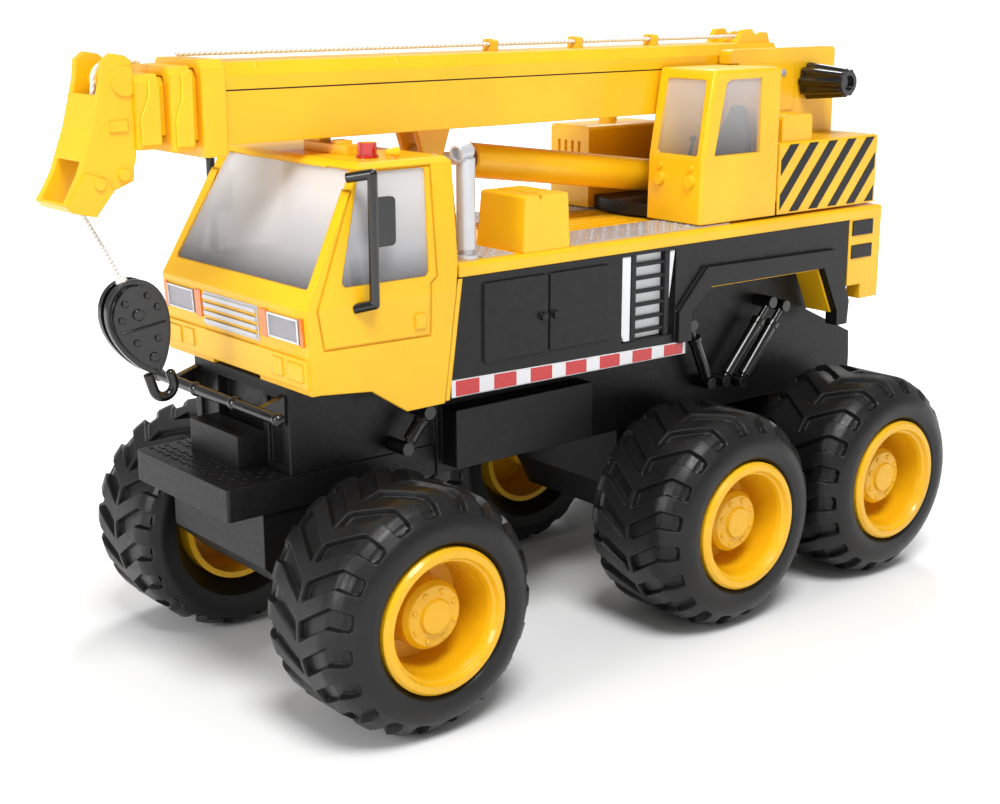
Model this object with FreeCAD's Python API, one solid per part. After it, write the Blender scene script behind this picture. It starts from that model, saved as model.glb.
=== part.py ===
"""Toy mobile crane truck: six big wheels, a slewing turret and a telescopic boom.

Millimetres. +X points to the front of the vehicle, +Y to its left and +Z up. The origin is on the
ground, below the middle of the overall length.
"""
import FreeCAD, Part
import math
import os

V = FreeCAD.Vector
os.makedirs("parts", exist_ok=True)

# ---------------------------------------------------------------- driving dimensions
overall_length = 282.8        # back of the rear tyres to the tip of the boom head

# wheels
tyre_radius = 32.7
tyre_inner_y = 30.5
tyre_outer_y = 67.4
tyre_gap = 4.7                # between the middle and rear tyres
rim_lip_radius = 19.4
rim_seat_radius = 17.4
rim_outer_y = 67.7
rim_dish_depth = 16.0
hub_radius = 9.2
axle_radius = 1.5
front_axle_x = 74.5

# chassis
running_gap = 0.08            # radial clearance of anything that turns in a bore
chassis_half_y = 25.0
chassis_wall = 2.4
belly_above_axle = 22.8
step_height = 8.6
step_front_x = 111.0
step_half_y = 24.4
nose_x = 92.0
nose_height = 23.9
push_bar_x = 99.4
push_bar_radius = 1.5
push_bar_half_y = 31.0
shock_radius = 1.9
shock_y = 30.4

# deck
deck_half_y = 36.7
deck_thick = 3.7
deck_above_axle = 83.8
deck_rear_x = -133.8
deck_front_x = 45.6
panel_thick = 3.0
tread_thick = 0.4

# driver's cab
cab_wall = 1.8
cab_roof_above_deck = 27.9
cab_roof_half_y = 33.5
glass_thick = 0.8

# turret
slew_x = -82.1
turret_gap = 0.8              # deck to turret
turntable_radius = 34.0
turntable_thick = 3.9
kingpin_radius = 9.9
turret_half_y = 34.4
turret_rear_x = -133.5
cheek_inner_y = 11.4
cheek_outer_y = 16.0
pivot_x = -104.7
pivot_above_deck = 43.2
pivot_pin_radius = 1.2
crank_x = -118.0
crank_drop = 3.0              # crank shaft below the boom pivot
crank_shaft_radius = 1.8
opcab_wall = 1.5

# boom
boom_half_y = 10.7
boom_below_pivot = 10.9
boom_above_pivot = 9.3
boom_wall = 1.3
boom_rear_x = -108.5
boom_front_x = 105.9
boom_chamfers = (3.2, 2.6, 2.0)
cover_depth = 6.8             # boom top down to the line between channel and cover
section_gap = 0.25            # slides of one boom section in the next
head_half_y = 8.2
cheek_plate = 2.2
sheave_radius = 4.2
sheave_pin_radius = 1.2
string_radius = 0.62

# hook
block_length = 25.6
block_half_width = 8.4
block_half_thick = 4.0
block_gap = 0.9               # half the slot between the block's two halves
block_tilt = math.radians(17.0)
hook_bar_radius = 1.3
hook_bend_radius = 2.95

# lift cylinder
barrel_pin_x = -79.1
rod_pin_x = 29.9
barrel_pin_above_deck = 9.5
rod_pin_above_deck = 24.1
barrel_radius = 5.1
barrel_bore = 4.0
rod_radius = 1.8
cylinder_pin_radius = 1.2

# ---------------------------------------------------------------- levels and stations
axle_z = tyre_radius
belly_z = axle_z + belly_above_axle
step_top_z = belly_z + step_height
nose_top_z = step_top_z + nose_height
deck_top_z = axle_z + deck_above_axle
deck_low_z = deck_top_z - deck_thick
roof_z = deck_top_z + cab_roof_above_deck
turret_z = deck_top_z + turret_gap
turntable_top_z = turret_z + turntable_thick
pivot_z = deck_top_z + pivot_above_deck
crank_z = pivot_z - crank_drop
boom_low_z = pivot_z - boom_below_pivot
boom_top_z = pivot_z + boom_above_pivot
cover_line_z = boom_top_z - cover_depth
barrel_pin_z = deck_top_z + barrel_pin_above_deck
rod_pin_z = deck_top_z + rod_pin_above_deck
rear_axle_x = tyre_radius - overall_length / 2
middle_axle_x = rear_axle_x + 2 * tyre_radius + tyre_gap
head_tip_x = overall_length / 2
panel_outer_y = deck_half_y - 0.2
panel_inner_y = panel_outer_y - panel_thick
string_z = boom_top_z + 1.9
head_back_x = boom_front_x + 16.4
sheave_x, sheave_z = head_back_x + 2.1, pivot_z + 5.7
cab_back = ((50.9, nose_top_z - 8.6), (46.3, deck_low_z))   # slanted rear edge of the cab's sides


# ---------------------------------------------------------------- shape helpers
def box(x0, x1, y0, y1, z0, z1):
    return Part.makeBox(x1 - x0, y1 - y0, z1 - z0, V(x0, y0, z0))


def rod(start, end, radius):
    start, end = V(*start), V(*end)
    return Part.makeCylinder(radius, start.distanceToPoint(end), start, end - start)


def cone(start, end, radius0, radius1):
    start, end = V(*start), V(*end)
    return Part.makeCone(radius0, radius1, start.distanceToPoint(end), start, end - start)


def ball(centre, radius):
    return Part.makeSphere(radius, V(*centre))


def prism(points, direction):
    return Part.Face(Part.makePolygon(points + [points[0]])).extrude(direction)


def prism_y(outline, y0, y1):
    """Outline of (x, z) points, extruded along Y."""
    return prism([V(x, y0, z) for x, z in outline], V(0, y1 - y0, 0))


def prism_x(outline, x0, x1):
    """Outline of (y, z) points, extruded along X."""
    return prism([V(x0, y, z) for y, z in outline], V(x1 - x0, 0, 0))


def band_y(outline, width, y0, y1):
    """A line of the given width just inside an outline of (x, z) points, extruded along Y."""
    face = Part.Face(Part.makePolygon([V(x, y0, z) for x, z in outline + outline[:1]]))
    ring = face.cut(face.makeOffset2D(-width))
    return ring.extrude(V(0, y1 - y0, 0))


def revolve_y(profile):
    """Profile of (radius, y) points, turned about the Y axis."""
    points = [V(r, y, 0) for r, y in profile + profile[:1]]
    return Part.Face(Part.makePolygon(points)).revolve(V(0, 0, 0), V(0, 1, 0), 360)


def fuse(*shapes):
    return shapes[0].multiFuse(list(shapes[1:])).removeSplitter()


def moved(shape, x, y, z):
    copy = shape.copy()
    copy.translate(V(x, y, z))
    return copy


def mirrored(shape):
    return shape.mirror(V(0, 0, 0), V(0, 1, 0))


def pair(shape):
    return [shape, mirrored(shape)]


def edges_along(shape, direction, test=lambda point: True):
    """Straight edges that run along a direction and whose middle passes the test."""
    found = []
    for edge in shape.Edges:
        if len(edge.Vertexes) == 2 and isinstance(edge.Curve, Part.Line):
            run = edge.Vertexes[1].Point - edge.Vertexes[0].Point
            if run.Length > 1e-6 and run.normalize().cross(V(*direction)).Length < 1e-3:
                if test(edge.CenterOfMass):
                    found.append(edge)
    return found


def rounded(shape, radius, direction, test=lambda point: True):
    return shape.makeFillet(radius, edges_along(shape, direction, test))


def save(name, *shapes):
    solids = [solid for shape in shapes for solid in shape.Solids]
    whole = solids[0] if len(solids) == 1 else Part.makeCompound(solids)
    whole.exportStep("parts/" + name + ".step")


# ---------------------------------------------------------------- wheels
def rim():
    dish_y = rim_outer_y - rim_dish_depth
    hub_y = rim_outer_y - 5.7
    profile = [
        (0, hub_y + 1.2), (0, hub_y - 2.0), (axle_radius, hub_y - 2.0), (axle_radius, tyre_inner_y + 4),
        (5.0, tyre_inner_y + 4), (5.0, dish_y - 2.2), (rim_seat_radius - 1.8, dish_y - 2.2),
        (rim_seat_radius - 1.8, tyre_inner_y + 2.5), (rim_seat_radius, tyre_inner_y + 2.5),
        (rim_seat_radius, rim_outer_y - 3.2), (rim_lip_radius, rim_outer_y - 3.2),
        (rim_lip_radius, rim_outer_y - 0.9), (rim_lip_radius - 0.8, rim_outer_y),
        (rim_lip_radius - 2.6, rim_outer_y), (rim_lip_radius - 3.1, rim_outer_y - 1.1),
        (rim_lip_radius - 3.8, rim_outer_y - 1.6), (rim_lip_radius - 4.2, rim_outer_y - 3.0),
        (rim_lip_radius - 5.4, dish_y + 0.6), (hub_radius + 0.6, dish_y), (hub_radius, dish_y + 0.6),
        (hub_radius, hub_y - 1.4), (hub_radius - 1.2, hub_y), (4.8, hub_y + 0.3), (4.4, hub_y + 1.2)]
    return revolve_y(profile)


def tyre():
    inner, outer, top = tyre_inner_y, tyre_outer_y, tyre_radius
    lip_y = rim_outer_y - 3.25
    profile = [
        (rim_seat_radius, inner + 4.0), (rim_seat_radius + 1.0, inner + 2.2),
        (rim_seat_radius + 4.1, inner + 0.6), (top - 5.7, inner), (top - 2.1, inner + 1.6),
        (top - 0.7, inner + 3.6), (top, inner + 6.0), (top, outer - 8.8), (top - 0.8, outer - 6.2),
        (top - 2.3, outer - 3.8), (top - 5.7, outer - 1.0), (top - 9.2, outer),
        (rim_lip_radius + 1.0, outer - 0.5), (rim_lip_radius + 0.1, outer - 1.8),
        (rim_lip_radius + 0.1, lip_y), (rim_seat_radius, lip_y)]
    return revolve_y(profile)


def wheelsets():
    one_rim, one_tyre = rim(), tyre()
    for place, x in (("front", front_axle_x), ("middle", middle_axle_x), ("rear", rear_axle_x)):
        save("rims_" + place, *[moved(s, x, 0, axle_z) for s in pair(one_rim)])
        save("tyres_" + place, *[moved(s, x, 0, axle_z) for s in pair(one_tyre)])
        end = rim_outer_y - 7.7
        save("axle_" + place, rod((x, -end, axle_z), (x, end, axle_z), axle_radius))


# ---------------------------------------------------------------- chassis
def chassis_frame():
    top = deck_low_z - 15.3
    rear = prism_y([(-111.7, top), (-111.9, top - 15.5), (-135.3, top - 26.1), (-136.0, top - 34.9),
                    (-136.0, belly_z), (-20, belly_z), (-20, top)], -chassis_half_y, chassis_half_y)
    middle = box(-20, 45, -chassis_half_y, chassis_half_y, belly_z, top)
    pedestal = box(-12, 44, -chassis_half_y + 1, chassis_half_y - 1, top, deck_low_z)
    nose = box(45, nose_x, -step_half_y + 0.2, step_half_y - 0.2, step_top_z, nose_top_z)
    recess = box(nose_x - 3.2, nose_x, -11.5, 11.5, step_top_z, nose_top_z - 3.2)
    pockets = [box(nose_x - 1.2, nose_x, side * 17.5 - 3.6, side * 17.5 + 3.6, step_top_z + 2, nose_top_z - 4)
               for side in (-1, 1)]
    sill_y = panel_inner_y - 2
    sill = box(-8, 43, -sill_y, sill_y, belly_z + 2.5, belly_z + 19.3)
    frame = fuse(rear, middle, pedestal, nose, sill).cut(Part.makeCompound([recess] + pockets))
    w = chassis_wall
    inner_y = chassis_half_y - w
    rear_hollow = prism_y([(-111.7 + w, top + 1), (-111.9 + w, top - 15.5 - w), (-135.3 + w, top - 26.1 - w),
                           (-136.0 + w, belly_z + w), (45 - w, belly_z + w), (45 - w, top - w),
                           (-20, top - w), (-20, top + 1)], -inner_y, inner_y)
    pedestal_hollow = box(-12 + w, 44 - w, -inner_y + 1, inner_y - 1, belly_z + w, deck_low_z + 1)
    nose_hollow = box(45 + w, nose_x - 3.2 - w, -step_half_y + 0.2 + w, step_half_y - 0.2 - w,
                      step_top_z - 1, nose_top_z - w)
    return frame.cut(rear_hollow).cut(pedestal_hollow).cut(nose_hollow)


def front_step():
    deck = box(45, step_front_x, -step_half_y, step_half_y, belly_z, step_top_z)
    deck = rounded(deck, 0.8, (0, 0, 1), lambda p: p.x > nose_x)
    locker = box(nose_x, nose_x + 8.5, -12.4, 12.4, step_top_z, step_top_z + 9.7)
    return fuse(deck, locker)


def push_bar():
    z = step_top_z + 18.0
    bar = rod((push_bar_x, -push_bar_half_y, z), (push_bar_x, push_bar_half_y, z), push_bar_radius)
    pieces = [bar]
    for side in (-1, 1):
        y = side * (step_half_y - 2.4)
        pieces.append(prism_y([(nose_x, z - 4.5), (nose_x, z + 3.5), (push_bar_x, z + 1.2),
                               (push_bar_x, z - 1.2)], y - 1.1, y + 1.1))
        pieces.append(ball((push_bar_x, side * 10.0, z), push_bar_radius + 0.5))
        pieces.append(ball((push_bar_x, side * push_bar_half_y, z), push_bar_radius + 0.35))
    return fuse(*pieces)


def axle_housings():
    bore = axle_radius + running_gap
    half = chassis_half_y - 1.2
    x, z, top = front_axle_x, axle_z, belly_z
    front = prism_y([(x - 15, top), (x + 26, top), (x + 26, top - 15), (x + 17, z - 1), (x + 8, z - 7),
                     (x - 8, z - 7), (x - 15, z + 2)], -half, half)
    front = front.cut(rod((x, -half - 1, z), (x, half + 1, z), bore))
    arms = []
    for x in (middle_axle_x, rear_axle_x):
        arms.append(prism_y([(x - 13, top), (x + 13, top), (x + 13, z + 4), (x + 7, z - 7),
                             (x - 7, z - 7), (x - 13, z + 4)], -half, half))
    beam = box(rear_axle_x, middle_axle_x, -12, 12, top - 14, top)
    bogie = fuse(beam, *arms)
    for x in (middle_axle_x, rear_axle_x):
        bogie = bogie.cut(rod((x, -half - 1, z), (x, half + 1, z), bore))
    return front, bogie


def shock(upper, lower):
    """A damper between two (x, z) eyes beside the chassis, each eye on its own side lug."""
    (x1, z1), (x0, z0) = upper, lower
    run = math.hypot(x1 - x0, z1 - z0)
    dx, dz = (x1 - x0) / run, (z1 - z0) / run

    def at(s):
        return (x0 + dx * s, shock_y, z0 + dz * s)

    pieces = [rod(at(0), at(run), shock_radius * 0.55), rod(at(2.6), at(run * 0.72), shock_radius),
              rod(at(run * 0.72), at(run * 0.78), shock_radius * 1.15)]
    for x, z in (upper, lower):
        pieces.append(rod((x, chassis_half_y, z), (x, shock_y + 1.9, z), 1.9))
    return fuse(*pieces)


def shock_absorbers():
    gap_x = middle_axle_x - tyre_radius - tyre_gap / 2
    spots = [((gap_x - 12.5, axle_z + 55.9), (gap_x + 8.2, axle_z + 33.0)),
             ((gap_x - 19.1, axle_z + 53.9), (gap_x + 0.3, axle_z + 31.6)),
             ((gap_x + 24.2, axle_z + 53.3), (gap_x + 15.0, axle_z + 33.4)),
             ((front_axle_x - 22.0, axle_z + 43.3), (front_axle_x - 14.6, axle_z + 34.4))]
    return [side for upper, lower in spots for side in pair(shock(upper, lower))]


def chassis_screws():
    screws = []
    for x in (-8, 22, 46):
        for y in (-17, 17):
            head = rod((x, y, belly_z - 1.2), (x, y, belly_z), 2.3)
            slot = box(x - 1.8, x + 1.8, y - 0.3, y + 0.3, belly_z - 1.2, belly_z - 0.6)
            cross = box(x - 0.3, x + 0.3, y - 1.8, y + 1.8, belly_z - 1.2, belly_z - 0.6)
            screws.append(head.cut(slot).cut(cross))
    return screws


# ---------------------------------------------------------------- driver's cab
def cab_body(inset):
    """The cab's outer form, moved inwards by inset."""
    i = inset
    low = nose_top_z
    side = [(92.6 - i, low + i), (93.7 - i, low + 21.6), (74.9 - i, roof_z - 0.7 - i),
            (73.4 - i, roof_z - i), (46.6 + i, roof_z - i), (45.7 + i, roof_z - 1.0 - i), (45.7 + i, low + i)]
    half, top = deck_half_y - i, cab_roof_half_y - i
    front = [(-half, low - 20), (half, low - 20), (half, low + 21.6), (top + 0.1, roof_z - 1.4 - i),
             (top - 1.6, roof_z + 0.01), (-top + 1.6, roof_z + 0.01), (-top - 0.1, roof_z - 1.4 - i),
             (-half, low + 21.6)]
    return prism_y(side, -60, 60).common(prism_x(front, 0, 120))


def cab_windows():
    low = nose_top_z + 26.3
    screen = prism_x([(-33.2, low), (33.2, low), (29.7, roof_z - 2.0), (-29.7, roof_z - 2.0)], 70, 110)
    screen = rounded(screen, 0.8, (1, 0, 0))
    side = prism_y([(83.0, low), (75.2, roof_z - 2.2), (54.4, roof_z - 2.2), (55.4, low)], 30.5, 60)
    side = rounded(side, 1.5, (0, 1, 0))
    return [screen] + pair(side)


def cab_back_x(z):
    """Where the slanted rear edge of the cab's sides is at a height."""
    (x0, z0), (x1, z1) = cab_back
    return x0 + (x1 - x0) * (z - z0) / (z1 - z0)


def front_x(z):
    """Where the cab's upright front face is at a height."""
    return 92.6 + (z - nose_top_z) * 1.1 / 21.6


def front_pad(y0, y1, z0, z1, depth):
    """A flat pad on the cab's upright front face."""
    return prism_y([(front_x(z0), z0), (front_x(z1), z1), (front_x(z1) + depth, z1),
                    (front_x(z0) + depth, z0)], y0, y1)


def cab_shell():
    low = nose_top_z
    body = cab_body(0)
    skirt_outline = [(90.0, low), (74.5, low - 1.5), (63.4, low - 8.7), cab_back[0], (cab_back_x(low), low)]
    skirt = prism_y(skirt_outline, deck_half_y - cab_wall, deck_half_y)
    body = fuse(body, *pair(skirt))
    back = [(30, low - 8.6), cab_back[0], cab_back[1], (45.7, deck_top_z), (30, deck_top_z)]
    back = prism_y(back, -60, 60)
    body = body.cut(back).cut(cab_body(cab_wall).cut(moved(back, cab_wall, 0, 0)))
    for window in cab_windows():
        body = body.cut(window)
    door = [(88.9, low + 11), (90.7, low + 21.4), (75.9, roof_z - 1.6), (52.6, roof_z - 1.6),
            (52.5, low + 25.7), (54.7, low + 24.2), (55.2, low + 10.4)]
    skin = cab_body(0).cut(cab_body(0.45))
    for side in (1, -1):
        groove = band_y(door, 0.55, 20 * side, 60 * side).common(skin)
        body = body.cut(groove)
    trims = [front_pad(-36.0, 36.0, low + 1.4, low + 9.2, 0.7)]
    for side in (1, -1):
        lamp_frame = front_pad(min(side * 27.2, side * 34.4), max(side * 27.2, side * 34.4),
                               low + 3.2, low + 7.9, 1.1)
        small = front_pad(min(side * 20.2, side * 25.0), max(side * 20.2, side * 25.0),
                          low + 3.4, low + 8.1, 1.1)
        trims += [lamp_frame, small]
        latch_y = deck_half_y - 0.2
        trims.append(box(57.2, 60.6, min(side * latch_y, side * (latch_y + 0.9)),
                         max(side * latch_y, side * (latch_y + 0.9)), low + 13.0, low + 17.0))
    step_notch = prism_y([(88, low - 1), (88, low + 1.3), (99, low + 1.3), (99, low - 1)], -12, 12)
    return fuse(body, *trims).cut(step_notch)


def cab_glazing():
    pane = cab_body(0.5).cut(cab_body(0.5 + glass_thick))
    return [window.common(pane) for window in cab_windows()]


def cab_interior_floor():
    return nose_top_z + cab_wall


def cab_seats():
    floor = cab_interior_floor()
    seats = []
    for y in (-15.0, 15.0):
        profile = [(54.0, floor), (71.0, floor), (72.5, floor + 11.5), (61.0, floor + 12.5),
                   (57.0, floor + 33.0), (53.0, floor + 33.5), (52.2, floor + 12)]
        seats.append(rounded(prism_y(profile, y - 8.5, y + 8.5), 1.2, (0, 1, 0)))
    return seats


def dashboard():
    floor = cab_interior_floor()
    desk = prism_y([(88.0, floor), (89.5, floor + 20.5), (80.5, floor + 23.5), (79.0, floor + 16),
                    (84.5, floor + 12), (84.5, floor)], -33.0, 33.0)
    column = rod((82.0, 15.0, floor + 18), (76.4, 15.0, floor + 23.6), 1.0)
    wheel = Part.makeTorus(5.6, 0.7, V(76.6, 15.0, floor + 23.4), V(-1, 0, 1))
    spoke = rod((76.6, 9.2, floor + 23.4), (76.6, 20.8, floor + 23.4), 0.55)
    return fuse(desk, column, wheel, spoke)


def grille():
    low, high = nose_top_z + 10.6, nose_top_z + 19.8
    back = front_pad(-13.8, 13.8, low, high, 0.35)
    slats = [front_pad(-13.4, 13.4, z, z + 1.15, 1.0)
             for z in (low + 0.6 + 2.25 * i for i in range(4))]
    return fuse(back, *slats)


def headlights():
    return pair(front_pad(19.0, 33.2, nose_top_z + 12.9, nose_top_z + 19.3, 0.6))


def turn_markers():
    low, high = nose_top_z + 12.5, nose_top_z + 19.7
    return pair(front_pad(15.2, 18.4, low, high, 0.6)) + pair(front_pad(33.7, 35.2, low, high, 0.6))


def mirror_bar():
    top_z, low_z, y, r = roof_z - 1.9, nose_top_z + 21.8, deck_half_y + 3.0, 1.3
    pieces = [rod((75.2, y, low_z), (75.2, y, top_z), r)]
    for z, foot_y in ((top_z, 34.2), (low_z, deck_half_y - 0.6)):
        pieces += [ball((75.2, y, z), r), rod((75.2, y, z), (79.0, foot_y, z - 1.2), r)]
    plate = box(68.8, 75.0, y - 0.6, y + 0.7, nose_top_z + 36.3, nose_top_z + 48.7)
    pieces.append(rounded(plate, 1.4, (0, 1, 0), lambda p: p.x < 72))
    return fuse(*pieces).cut(cab_body(0))


def roof_beacon():
    base = rod((64.6, 22.6, roof_z), (64.6, 22.6, roof_z + 0.8), 3.0)
    lens = rod((64.6, 22.6, roof_z + 0.8), (64.6, 22.6, roof_z + 3.9), 2.5)
    return fuse(base, lens)


def roof_fittings():
    bar = box(61.4, 66.4, -5.0, 15.5, roof_z, roof_z + 2.6)
    bar = rounded(bar, 0.8, (0, 0, 1))
    caps = [box(62.2, 65.8, y, y + 4.4, roof_z + 2.6, roof_z + 3.6) for y in (-2.0, 8.0)]
    horn = cone((62.9, 28.4, roof_z + 1.6), (59.2, 28.4, roof_z + 1.6), 0.7, 1.4)
    foot = rod((62.0, 28.4, roof_z), (62.0, 28.4, roof_z + 1.6), 0.6)
    return fuse(bar, *caps), fuse(horn, foot)


def exhaust_stack():
    x, y = 39.4, 31.6
    flange = rod((x, y, deck_top_z), (x, y, deck_top_z + 1.2), 3.4)
    pipe = rod((x, y, deck_top_z), (x, y, deck_top_z + 28.4), 2.0)
    sleeve = rod((x, y, deck_top_z + 2.6), (x, y, deck_top_z + 26.8), 2.6)
    elbow = ball((x, y, deck_top_z + 28.6), 2.5)
    mouth = rod((x, y, deck_top_z + 28.6), (x + 3.6, y + 0.6, deck_top_z + 28.0), 2.4)
    stack = fuse(flange, pipe, sleeve, elbow, mouth)
    return stack.cut(rod((x + 1.6, y + 0.3, deck_top_z + 28.4), (x + 4.6, y + 0.8, deck_top_z + 27.9), 1.7))


# ---------------------------------------------------------------- deck and side panels
def deck():
    plate = box(deck_rear_x, deck_front_x, -deck_half_y, deck_half_y, deck_low_z, deck_top_z)
    plate = rounded(plate, 1.2, (1, 0, 0), lambda p: p.z > deck_low_z + 1)
    under = box(-117.3, -46, -panel_inner_y + 3, panel_inner_y - 3, deck_low_z - 15.3, deck_low_z)
    back = box(deck_rear_x, deck_rear_x + 2.8, -deck_half_y, deck_half_y, deck_low_z - 17, deck_low_z)
    corner = box(deck_rear_x, -117.5, deck_half_y - 5.5, deck_half_y, deck_low_z - 22, deck_low_z)
    corner = fuse(corner, box(deck_rear_x, -124.5, deck_half_y - 5.5, deck_half_y,
                              deck_low_z - 27, deck_low_z - 22))
    ribs = [box(-44, 4, y - 0.35, y + 0.35, deck_top_z, deck_top_z + 0.4)
            for y in (-12, -7.2, -2.4, 2.4, 7.2, 12)]
    w = chassis_wall
    hollow = box(-117.3 + w, -46 - w, -panel_inner_y + 3 + w, panel_inner_y - 3 - w,
                 deck_low_z - 16, deck_low_z)
    body = fuse(plate, under.cut(hollow), back, *pair(corner), *ribs)
    hole = Part.makeCylinder(kingpin_radius + running_gap, 20, V(slew_x, 0, deck_low_z - 5))
    return body.cut(hole)


def deck_box():
    low, high = deck_top_z, deck_top_z + 15.6
    outline = [(5.4, low), (22.6, low), (21.9, high), (6.3, high)]
    body = prism_y(outline, 15.5, deck_half_y - 1.2)
    taper = prism_x([(15.0, low - 1), (15.0, high + 1), (16.6, high + 1), (15.4, low - 1)], 0, 30)
    body = body.cut(taper)
    body = rounded(body, 0.9, (0, 1, 0), lambda p: p.z > high - 0.2)
    groove = box(16.0, 16.8, 10, 40, high - 1.2, high + 1)
    return body.cut(groove)


def tread_plates():
    plates = []
    for x0, x1 in ((-62.0, 3.6), (24.6, 35.6)):
        plates += pair(box(x0, x1, 15.5, deck_half_y - 2.6, deck_top_z, deck_top_z + tread_thick))
    return plates


def arch_lines():
    low = deck_low_z
    outer = [(-36.7, low - 33.6), (-36.7, low - 20.2), (-48.9, low - 7.6), (-109.0, low - 8.6),
             (-117.3, low - 26.5), (-116.7, low - 34.2)]
    inner = [(-42.3, low - 33.6), (-41.9, low - 21.0), (-50.3, low - 13.8), (-103.5, low - 14.2),
             (-111.2, low - 29.5), (-111.4, low - 34.2)]
    return outer, inner


def side_panel():
    outer, inner = arch_lines()
    top = deck_low_z
    front_edge = [(cab_back_x(top - 32.6) - 0.25, top - 32.6), (cab_back_x(top) - 0.25, top)]
    outline = front_edge + [(-117.3, top)] + outer[4:] + inner[::-1]
    panel = prism_y(outline, panel_inner_y, panel_outer_y)
    strip_top = top - 29.4
    moulding = prism_y([(outer[0][0], strip_top)] + outer[1:] + inner[:0:-1] + [(inner[0][0], strip_top)],
                       panel_outer_y - 0.5, panel_outer_y + 1.7)
    pieces = [panel, moulding]
    for x0, x1 in ((-8.9, 14.0), (14.9, 37.6)):
        door = box(x0, x1, panel_outer_y - 0.2, panel_outer_y + 0.7, top - 24.6, top - 2.4)
        pieces.append(rounded(door, 1.0, (0, 1, 0)))
    for x in (12.2, 16.7):
        pieces.append(rod((x, panel_outer_y, top - 14.2), (x, panel_outer_y + 1.9, top - 14.2), 1.15))
    body = fuse(*pieces)
    body = body.cut(box(-36.4, -14.3, panel_inner_y - 1, panel_outer_y + 1, top - 26.6, top - 1.2))
    ladder = []
    for x in (-19.2, -32.9):
        ladder.append(box(x - 0.9, x + 0.9, panel_inner_y + 0.9, panel_outer_y - 0.2, top - 26.8, top - 1.0))
    for i in range(6):
        z = top - 24.6 + 3.95 * i
        ladder.append(box(-32.9, -19.2, panel_inner_y + 1.3, panel_outer_y - 0.5, z, z + 1.1))
    return fuse(body, *ladder)


def ladder_backings():
    top = deck_low_z
    return pair(box(-37.6, -13.1, panel_inner_y - 0.9, panel_inner_y, top - 27.6, top))


def reflector_strips():
    top = deck_low_z
    outline = [(48.6, top - 32.4), (48.6, top - 27.6), (-41.1, top - 29.6), (-41.1, top - 33.4)]
    return pair(prism_y(outline, panel_outer_y, panel_outer_y + 0.5))


def tail_lamps():
    lamps = []
    for z0, z1 in ((-5.4, -0.5), (-13.0, -8.6)):
        lamps += pair(box(-129.2, -118.8, deck_half_y, deck_half_y + 0.4, deck_low_z + z0, deck_low_z + z1))
    return lamps


# ---------------------------------------------------------------- turret
def turret_base():
    disc = Part.makeCylinder(turntable_radius, turntable_thick, V(slew_x, 0, turret_z))
    tail = box(turret_rear_x + 2.5, slew_x, -cheek_outer_y, cheek_outer_y, turret_z, turntable_top_z)
    post = Part.makeCylinder(kingpin_radius, turret_z - deck_low_z + 2.4, V(slew_x, 0, deck_low_z - 2.4))
    catch = Part.makeCylinder(kingpin_radius + 2.6, 2.0, V(slew_x, 0, deck_low_z - 2.4))
    lugs = []
    for side in (1, -1):
        y0, y1 = sorted((side * (barrel_radius + 0.4), side * (barrel_radius + 2.8)))
        lug = box(barrel_pin_x - 4, barrel_pin_x + 4, y0, y1, turntable_top_z - 1, barrel_pin_z)
        lugs += [lug, rod((barrel_pin_x, y0, barrel_pin_z), (barrel_pin_x, y1, barrel_pin_z), 4)]
    base = fuse(disc, tail, post, catch, *lugs)
    pin_y = barrel_radius + 2.8
    return base.cut(rod((barrel_pin_x, -pin_y, barrel_pin_z), (barrel_pin_x, pin_y, barrel_pin_z),
                        cylinder_pin_radius))


def opcab_body(inset):
    i = inset
    low, top = turret_z, turret_z + 45.7
    side = [(-48.3 - i, low + i), (-48.7 - i, low + 19.1), (-53.2 - i, top - i), (-83.2 + i, top - i),
            (-83.2 + i, low + i)]
    body = prism_y(side, 12.0 + i, turret_half_y - i)
    if inset == 0:
        body = rounded(body, 1.6, (0, 1, 0), lambda p: p.z > top - 1)
        body = body.makeFillet(1.2, [e for e in body.Edges if e.CenterOfMass.y > turret_half_y - 0.05
                                     and e.CenterOfMass.z > low + 1])
    return body


def opcab_windows():
    low = turret_z + 20.3
    side = prism_y([(-53.8, low), (-58.2, low + 21.2), (-58.2, low + 21.4), (-60.0, low + 22.4),
                    (-73.8, low + 22.4), (-74.2, low)], turret_half_y - 3, turret_half_y + 3)
    front = prism_x([(14.6, low), (31.8, low), (31.2, low + 22.4), (15.2, low + 22.4)], -58, -40)
    return [side, rounded(front, 0.9, (1, 0, 0))]


def operator_cab():
    shell = opcab_body(0).cut(opcab_body(opcab_wall))
    windows = opcab_windows()
    shell = shell.cut(windows[0]).cut(windows[1])
    lamps = []
    for y in (17.0, 29.6):
        x = -48.55
        lamps.append(rod((x - 0.6, y, turret_z + 12.7), (x + 1.3, y, turret_z + 12.7), 2.0))
        lamps.append(rod((x - 0.6, y, turret_z + 16.6), (x + 0.5, y, turret_z + 16.6), 0.9))
    shell = fuse(shell, *lamps)
    return shell.cut(turret_base())


def opcab_glazing():
    pane = opcab_body(0.4).cut(opcab_body(0.4 + glass_thick))
    return [window.common(pane) for window in opcab_windows()]


def operator_seat():
    floor = turntable_top_z
    profile = [(-79.5, floor), (-64.5, floor), (-63.5, floor + 10.5), (-71.5, floor + 11.5),
               (-73.0, floor + 22), (-72.6, floor + 29), (-76.4, floor + 30.5), (-79.8, floor + 22)]
    seat = rounded(prism_y(profile, 17.8, 28.6), 1.1, (0, 1, 0))
    return seat


def control_levers():
    floor = turntable_top_z
    console = box(-60.5, -54.5, 16.5, 30.0, floor, floor + 13.5)
    levers = []
    for y in (20.0, 26.5):
        levers.append(rod((-57.5, y, floor + 13), (-59.5, y, floor + 20), 0.6))
        levers.append(ball((-59.5, y, floor + 20.4), 1.1))
    return fuse(console, *levers)


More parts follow.
